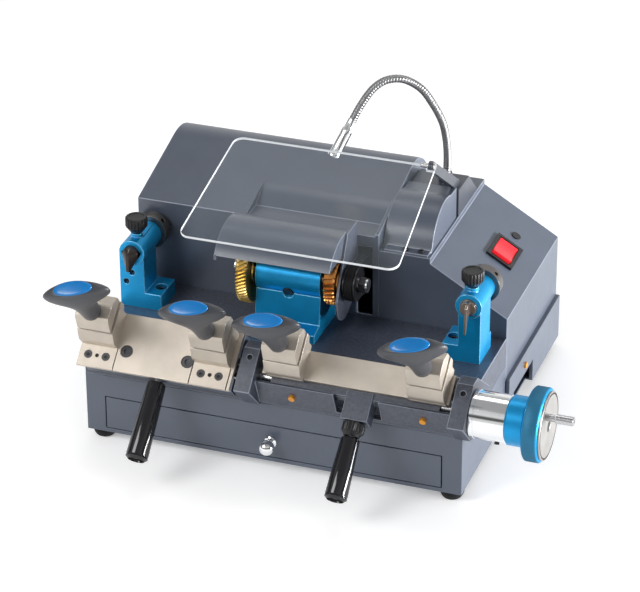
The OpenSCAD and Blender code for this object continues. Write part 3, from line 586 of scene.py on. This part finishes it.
def gauge_knob(side):
    node = f"{side}_gauge_knob"
    low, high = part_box(node)
    base = Vector(((low.x + high.x) / 2, (low.y + high.y) / 2, low.z))
    wheel = Shape().lathe(base, Z_AXIS, GAUGE_PROFILE, sides=180, shape=gauge_flutes)
    wheel.piece(f"{side}_clamp_wheel", BODY_OF[node], [LOOKS["black_metal"]], [node], sharp=30)


gauge_knob("left")
gauge_knob("right")


# ---------- feed end ----------


def along_x(node):
    """Axis point at the node's left end, and the node's width and radius in mm."""
    low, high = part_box(node)
    base = Vector((low.x, PIVOT.y, PIVOT.z))
    return base, (high.x - low.x) / MM, (high.z - low.z) / 2 / MM


# radii of the bores on the cross shaft, of the dial ring's bore and of the handwheel's hub
SHAFT_BORE = 8.1
DIAL_BORE = 16
HUB_R = 15.9

base, width, radius = along_x("feed_sleeve")
sleeve_profile = [
    (0, SHAFT_BORE), (0, radius - 0.8), (0.8, radius), (4.2, radius), (4.6, radius - 0.5),
    (5.2, radius - 0.5), (5.6, radius - 0.05), (width - 1, radius - 0.05),
    (width, radius - 0.9), (width, SHAFT_BORE), (0, SHAFT_BORE),
]
sleeve = Shape().lathe(base, X_AXIS, sleeve_profile, sides=128, caps=(False, False))
sleeve.piece("chrome_sleeve", "machine", [LOOKS["chrome"]], ["feed_sleeve"], sharp=30)

base, width, radius = along_x("dial_ring")
dial_profile = [
    (0, DIAL_BORE), (0, radius - 0.7), (0.7, radius), (width - 2.6, radius),
    (width - 2.2, radius - 0.5), (width - 1.2, radius - 0.5), (width - 0.8, radius),
    (width, radius), (width, DIAL_BORE), (0, DIAL_BORE),
]
dial = Shape().lathe(base, X_AXIS, dial_profile, sides=128, caps=(False, False))
dial.piece("blue_dial_ring", "feed_wheel", [LOOKS["blue_anodised"]], ["dial_ring"], sharp=30)

base, width, radius = along_x("handwheel")
wheel_radius = radius
RIM_WIDTH = 16
rim = width - RIM_WIDTH
wheel_profile = [
    (0, SHAFT_BORE), (0, HUB_R), (rim - 0.2, HUB_R), (rim, radius - 3),
    (rim + 0.2, radius - 2.2), (rim + 1.6, radius - 0.4), (rim + 2.2, radius),
    (width - 2.4, radius), (width - 1.6, radius - 0.4), (width - 0.2, radius - 2),
    (width, radius - 2.6), (width, SHAFT_BORE), (0, SHAFT_BORE),
]
WHEEL_BANDS = [1, 1, 1, 1, 1, 0, 0, 0, 1, 1, 1, 1]


def wheel_knurl(angle, height, r):
    return r - (0.32 * dent(angle, 160) if r > wheel_radius - 0.5 else 0)


wheel = Shape().lathe(
    base, X_AXIS, wheel_profile, WHEEL_BANDS, sides=480, shape=wheel_knurl, caps=(False, False)
)
wheel_looks = [KNURL_BLUE, LOOKS["blue_anodised"]]
wheel.piece("knurled_handwheel", "feed_wheel", wheel_looks, ["handwheel"], sharp=60)

base, reach, disc_r = along_x("crank_cap")
pin_at = next(m["pos_m"] for m in frame["record"]["mounts"] if m["name"] == "crank_pin")
FACE_X = 2.1
# bands of 1 are the groove and the centre recess of the disc face, in painted shade
DISC_BANDS = [0, 0, 0, 0, 1, 1, 1, 0, 0, 1]
disc_profile = [
    (0.5, 0.5), (0.5, disc_r - 0.1), (FACE_X - 0.5, disc_r), (FACE_X, disc_r - 0.5),
    (FACE_X, disc_r - 1.4), (FACE_X - 0.7, disc_r - 1.7), (FACE_X - 0.7, disc_r - 2.7),
    (FACE_X, disc_r - 3), (FACE_X, 6), (FACE_X - 0.4, 5.6), (FACE_X - 0.4, 0.5),
]
cap = Shape()
cap.lathe(base, X_AXIS, disc_profile, DISC_BANDS, sides=128)
PIN_R = 4.5
pin_profile = [
    (1, 3.5), (reach - 17, 3.5), (reach - 17, 4.2), (reach - 16.7, PIN_R), (reach - 0.8, PIN_R),
    (reach, 3.8), (reach, 1.6), (reach - 2, 1.4), (reach - 2, 0.3),
]
cap.lathe(Vector((base.x, *pin_at[1:])), X_AXIS, pin_profile, look=2, sides=48)
cap_looks = [DISC_STEEL, PAINTED_RECESS_SHADE, LOOKS["steel"]]
cap.piece("wheel_disc", "feed_wheel", cap_looks, ["crank_cap"], sharp=30)


# ---------- cutters ----------

CUTTER_BORE = 7.05
TOOTH_DEPTH = 1.7
TOOTH_SIDES = 8
RIM_STEPS = 8


def cutter(name, node, teeth, slant, look, hub):
    """slant is how many teeth the edges lean by across the width; hub is the hub's radius."""
    low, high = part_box(node)
    base = Vector((low.x, centre("spindle_shaft").y, centre("spindle_shaft").z))
    radius = (high.z - low.z) / 2 / MM
    width = (high.x - low.x) / MM

    def tooth(angle, height, r):
        if r < radius - 2.5:
            return r
        turn = (angle / TAU * teeth + slant * height / width) % 1
        return r - TOOTH_DEPTH * (turn ** 0.7)

    profile = [
        (0, CUTTER_BORE), (0.0, hub), (1.2, hub + 0.4), (1.2, radius - 6), (0.2, radius - 5),
        (0, radius - 0.9),
    ]
    for i in range(RIM_STEPS + 1):
        chamfer = 0 if 0 < i < RIM_STEPS else 0.6
        profile.append((width * i / RIM_STEPS, radius - chamfer))
    profile += [
        (width, radius - 0.9), (width - 0.2, radius - 5), (width - 1.2, radius - 6),
        (width - 1.2, hub + 0.4), (width, hub), (width, CUTTER_BORE), (0, CUTTER_BORE),
    ]
    shape = Shape().lathe(
        base, X_AXIS, profile, sides=teeth * TOOTH_SIDES, shape=tooth, caps=(False, False)
    )
    shape.piece(name, "spindle", [look], [node], sharp=28)


cutter("gold_slotter", "slotting_cutter", teeth=56, slant=1.4, look=LOOKS["brass"], hub=14)
cutter("bronze_mill", "milling_cutter", teeth=30, slant=0.5, look=LOOKS["copper"], hub=12)


# ---------- drawer knob and feet ----------

low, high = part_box("drawer_knob")
pull_base = Vector(((low.x + high.x) / 2, high.y, (low.z + high.z) / 2))
BALL_OUT = 12
BALL_R = 7.55
BALL_STEPS = 24
# the stem, then the ball from where the stem meets it
pull_profile = [(0, 5.6), (0.4, 6), (1.9, 6), (2.5, 5.2), (2.9, 3.4), (4.6, 3.1)]
for i in range(BALL_STEPS + 1):
    angle = math.pi * (0.15 + 0.85 * i / BALL_STEPS)
    pull_profile.append(
        (BALL_OUT - BALL_R * math.cos(angle), max(0.3, BALL_R * math.sin(angle)))
    )
pull = Shape().lathe(pull_base, (0, -1, 0), pull_profile, sides=64)
pull.piece("chrome_pull", "drawer", [LOOKS["chrome"]], ["drawer_knob"], sharp=50)

feet_low, feet_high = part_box("feet")
FOOT_R = 12 * MM
FOOT_PROFILE = [
    (0, 1), (0, 7.4), (0.5, 8.8), (1.8, 9.9), (4, 11), (6.5, 11.7), (9.2, 11.9), (10, 11.6),
]
feet = Shape()
for x in (feet_low.x + FOOT_R, feet_high.x - FOOT_R):
    for y in (feet_low.y + FOOT_R, feet_high.y - FOOT_R):
        feet.lathe(Vector((x, y, 0)), Z_AXIS, FOOT_PROFILE, sides=48)
feet.piece("rubber_feet", "machine", [LOOKS["rubber"]], ["feet"], sharp=50)


# ---------- lamp ----------

# points of the hose's middle line, in mm in the machine's own frame
HOSE_ROUTE = [
    (94, 252, 212), (94.4, 252, 226), (94.7, 250, 240), (93.7, 248, 255), (91.5, 245, 270),
    (87, 241, 284), (81, 237, 297), (75, 233, 308), (67, 229, 316), (59, 223, 322),
    (51, 218, 324), (42, 213, 322.5), (34, 208, 317), (28.5, 204, 310), (23.8, 200, 302),
    (19.6, 196.5, 293.5), (16, 193, 285),
]
CURVE_STEPS = 40


def smooth_route(points, step):
    """Catmull-Rom curve through the points, resampled at an even step in metres."""
    p = [at(*q) for q in points]
    p = [2 * p[0] - p[1], *p, 2 * p[-1] - p[-2]]
    fine = []
    for i in range(1, len(p) - 2):
        for k in range(CURVE_STEPS):
            t = k / CURVE_STEPS
            a, b, c, d = p[i - 1], p[i], p[i + 1], p[i + 2]
            fine.append(
                0.5 * (2 * b + (c - a) * t + (2 * a - 5 * b + 4 * c - d) * t * t
                       + (3 * b - a - 3 * c + d) * t ** 3)
            )
    fine.append(p[-2])
    out, left = [fine[0]], step
    for a, b in zip(fine, fine[1:]):
        length = (b - a).length
        while left <= length:
            out.append(a.lerp(b, left / length))
            left += step
        left -= length
    return out


# the ribs wind round the core like a screw thread
HOSE_STEP = 0.42 * MM
RIB_PITCH = 2.8
HOSE_SIDES = 24
HOSE_CORE = 3.3
RIB_HEIGHT = 0.7
route = smooth_route(HOSE_ROUTE, HOSE_STEP)
hose = Shape()
rings = []
side = Vector((0.3, 1, 0.1))
for i, point in enumerate(route):
    tangent = (route[min(i + 1, len(route) - 1)] - route[max(i - 1, 0)]).normalized()
    u = tangent.cross(side).normalized()
    v = tangent.cross(u)
    ring = []
    for k in range(HOSE_SIDES):
        angle = TAU * k / HOSE_SIDES
        phase = i * HOSE_STEP / MM / RIB_PITCH + k / HOSE_SIDES
        r = HOSE_CORE + RIB_HEIGHT * abs(math.sin(math.pi * phase)) ** 0.6
        ring.append(point + (u * math.cos(angle) + v * math.sin(angle)) * r * MM)
    rings.append(ring)
hose.loft(rings)
hose.piece("lamp_hose", "machine", [HOSE_STEEL], ["gooseneck"], sharp=70)

lamp_from, lamp_to = at(*HOSE_ROUTE[-1]), at(3, 175, 253)
lamp_axis = lamp_to - lamp_from
lamp_end = lamp_axis.length / MM
lamp_profile = [
    (-1.5, 4.1), (-1.2, 4.5), (7.8, 4.6), (8.4, 4.9), (9, 5.4), (9.6, 5.6), (15, 5.6),
    (15.3, 5.3), (15.9, 5.3), (16.2, 5.6), (lamp_end - 5, 5.6), (lamp_end - 3, 6.2),
    (lamp_end - 1.4, 6.6), (lamp_end - 0.3, 6.4), (lamp_end, 5.9), (lamp_end - 0.2, 5.0),
    (lamp_end - 1.4, 4.6),
]
led_profile = [
    (lamp_end - 1.6, 4.6), (lamp_end - 0.9, 4.4), (lamp_end - 0.3, 3.2), (lamp_end - 0.1, 0.3),
]
lamp = Shape()
lamp.lathe(lamp_from, lamp_axis, lamp_profile, sides=64, caps=(True, False))
lamp.lathe(lamp_from, lamp_axis, led_profile, look=1, sides=48)
lamp.piece("lamp_spot", "machine", [LOOKS["chrome"], LED], ["lamp_head"], sharp=40)


# ---------- shield ----------

shield_joint = Vector(JOINTS["shield_lift"]["pos_m"])
SHIELD_SLOPE = math.radians(14.2)
SHIELD_DEPTH = 150.0
SHIELD_THICK = 2.6
REAR_X = (-93.0, 111.0)
FRONT_X = (-97.0, 119.0)
CORNER = 10.0
CORNER_STEPS = 8
# the end of the arm that carries the shield, and the notch in the sheet for it
ARM_X = (103.5, 107.5)
NOTCH_GAP = 0.6
NOTCH_DEPTH = 7


def on_shield(x, d, t):
    """x across the shield, d towards its front edge, t out of its upper face, in mm."""
    along = Vector((0, -math.cos(SHIELD_SLOPE), -math.sin(SHIELD_SLOPE)))
    up = Vector((0, -math.sin(SHIELD_SLOPE), math.cos(SHIELD_SLOPE)))
    return Vector((ORIGIN.x, shield_joint.y, shield_joint.z)) + (
        Vector((x, 0, 0)) + along * d + up * t
    ) * MM


def sheet_outline(inset):
    """The sheet's outline moved inwards by inset, as pairs of x and d."""
    rear = (REAR_X[0] + inset, REAR_X[1] - inset)
    front = (FRONT_X[0] + inset, FRONT_X[1] - inset)
    d0, d1 = inset, SHIELD_DEPTH - inset
    notch_x, notch_d = ARM_X[0] - NOTCH_GAP - inset, NOTCH_DEPTH + inset
    points = []
    corners = [
        (front[0] + CORNER, d1 - CORNER, 180, 90), (front[1] - CORNER, d1 - CORNER, 90, 0),
    ]
    for cx, cy, a0, a1 in corners:
        for i in range(CORNER_STEPS + 1):
            a = math.radians(a0 + (a1 - a0) * i / CORNER_STEPS)
            points.append((cx + CORNER * math.cos(a), cy + CORNER * math.sin(a)))
    points += [(rear[1], notch_d), (notch_x, notch_d), (notch_x, d0)]
    for i in range(CORNER_STEPS + 1):
        a = math.radians(270 - 90 * i / CORNER_STEPS)
        x, d = rear[0] + CORNER + CORNER * math.cos(a), d0 + CORNER + CORNER * math.sin(a)
        points.append((x, d))
    return points


half = SHIELD_THICK / 2
# how far the outline moves inwards, and the height of that ring, over the rounded edge
rounded_edge = [
    (0.4, half), (0.1, half - 0.15), (0, half - 0.5), (0, -half + 0.5), (0.1, -half + 0.15),
    (0.4, -half),
]
sheet = Shape()
sheet_rings = [
    [on_shield(x, d, t) for x, d in sheet_outline(inset)] for inset, t in rounded_edge
]
sheet.loft(sheet_rings, look=1, caps=(False, False))
# the two faces are clear, so they are added apart from the edge, whose glow is painted light
count = len(sheet_rings[0])
upper_face = list(range(count))
lower_start = (len(sheet_rings) - 1) * count
sheet.face(upper_face, 0)
sheet.face([lower_start + k for k in reversed(upper_face)], 0)
arm_from, arm_to = ARM_X
rod_profile = [(arm_from - 8, 2.2), (arm_from - 7.6, 2.5), (arm_to + 0.6, 2.5)]
head_profile = [
    (arm_to + 0.5, 2.5), (arm_to + 0.6, 3.7), (arm_to + 0.9, 4), (arm_to + 2.1, 4),
    (arm_to + 2.5, 3.6),
]
hinge = on_shield(0, 0, 0)
sheet.lathe(hinge, X_AXIS, rod_profile, look=2, sides=32)
sheet.lathe(hinge, X_AXIS, head_profile, look=2, sides=48)
sheet_looks = [LOOKS["clear"], SHEET_EDGE_GLOW, LOOKS["steel"]]
sheet.piece("clear_shield", "splinter_shield", sheet_looks, ["shield"], sharp=25)


# ---------- floor, light and camera ----------

floor_look = Nodes("floor", (0.90, 0.90, 0.90), 0.6)
floor_look.tint(floor_look.noise(3), 0.01)
floor_look.set("Emission Color", (1, 1, 1, 1))
floor_look.set("Emission Strength", 0.3)
floor_mesh = bpy.data.meshes.new("floor")
# the floor runs back to BACK_Y and then curves up into a wall, in metres
SPAN = 9.0
WALL_TOP = 4.0
BACK_Y = 4.0
SWEEP_R = 1.5
SWEEP_STEPS = 16
sweep = [(-SPAN, 0.0)]
for i in range(SWEEP_STEPS + 1):
    a = math.pi / 2 * i / SWEEP_STEPS
    sweep.append((BACK_Y + SWEEP_R * math.sin(a), SWEEP_R - SWEEP_R * math.cos(a)))
sweep.append((BACK_Y + SWEEP_R, WALL_TOP))
floor_mesh.from_pydata(
    [(x, y, z) for y, z in sweep for x in (-SPAN, SPAN)], [],
    [(2 * i, 2 * i + 1, 2 * i + 3, 2 * i + 2) for i in range(len(sweep) - 1)],
)
floor_mesh.polygons.foreach_set("use_smooth", [True] * len(floor_mesh.polygons))
floor_mesh.materials.append(floor_look.mat)
floor = bpy.data.objects.new("floor", floor_mesh)
bpy.context.scene.collection.objects.link(floor)
floor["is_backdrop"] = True

# brightness over the height of the view direction: a dark band between bright floor and
# ceiling gives the metals something to reflect
SKY = [
    (0.0, 0.90), (0.14, 0.90), (0.20, 0.12), (0.36, 0.10), (0.46, 0.90), (0.62, 0.75),
    (0.8, 0.45),
]
SKY_STRENGTH = 0.8
world = bpy.data.worlds.new("studio")
bpy.context.scene.world = world
world.use_nodes = True
sky = world.node_tree
sky_coord = sky.nodes.new("ShaderNodeTexCoord")
sky_axes = sky.nodes.new("ShaderNodeSeparateXYZ")
sky_ramp = sky.nodes.new("ShaderNodeValToRGB")
sky.links.new(sky_coord.outputs["Generated"], sky_axes.inputs["Vector"])
sky.links.new(sky_axes.outputs["Z"], sky_ramp.inputs["Fac"])
sky.links.new(sky_ramp.outputs["Color"], sky.nodes["Background"].inputs["Color"])
stops = sky_ramp.color_ramp.elements
while len(stops) < len(SKY):
    stops.new(0.5)
for stop, (height, value) in zip(stops, SKY):
    stop.position = height
    stop.color = (value, value, value, 1)
sky.nodes["Background"].inputs["Strength"].default_value = SKY_STRENGTH


def softbox(name, place, target, size, power):
    """An area light; place and size are in metres, power in watts."""
    light = bpy.data.lights.new(name, "AREA")
    light.shape = "RECTANGLE"
    light.size, light.size_y = size
    light.energy = power
    obj = bpy.data.objects.new(name, light)
    obj.location = place
    obj.rotation_mode = "QUATERNION"
    obj.rotation_quaternion = (Vector(target) - Vector(place)).to_track_quat("-Z", "Y")
    bpy.context.scene.collection.objects.link(obj)


middle = (cad_low + cad_high) / 2
softbox("key", (-0.9, -1.3, 1.2), middle, (0.8, 0.8), 17)
softbox("right", (2.2, 0.3, 0.12), middle, (1.4, 0.4), 130)
softbox("top", (0.1, 0.5, 1.7), middle, (1.4, 0.5), 6)

# the camera as fitted to the straight edges of the photograph
AZIMUTH, ELEVATION, ROLL = (math.radians(a) for a in (19.54, 28.77, -0.35))
CAMERA_AT = (902.3, -2400.1, 1597.4)
SENSOR_WIDTH = 36
FOCAL_LENGTH = 177.2
camera_data = bpy.data.cameras.new("camera")
camera_data.sensor_width = SENSOR_WIDTH
camera_data.lens = FOCAL_LENGTH
camera = bpy.data.objects.new("camera", camera_data)
across = math.cos(ELEVATION)
back = Vector((math.sin(AZIMUTH) * across, -math.cos(AZIMUTH) * across, math.sin(ELEVATION)))
flat_right = Vector((math.cos(AZIMUTH), math.sin(AZIMUTH), 0))
flat_up = back.cross(flat_right)
right = flat_right * math.cos(ROLL) + flat_up * math.sin(ROLL)
up = flat_up * math.cos(ROLL) - flat_right * math.sin(ROLL)
facing = Matrix((right, up, back)).transposed().to_4x4()
camera.matrix_world = Matrix.Translation(at(*CAMERA_AT)) @ facing
camera_data.clip_start, camera_data.clip_end = 0.05, 50
bpy.context.scene.collection.objects.link(camera)
bpy.context.scene.camera = camera
bpy.context.scene.view_settings.view_transform = "Standard"

low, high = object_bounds()
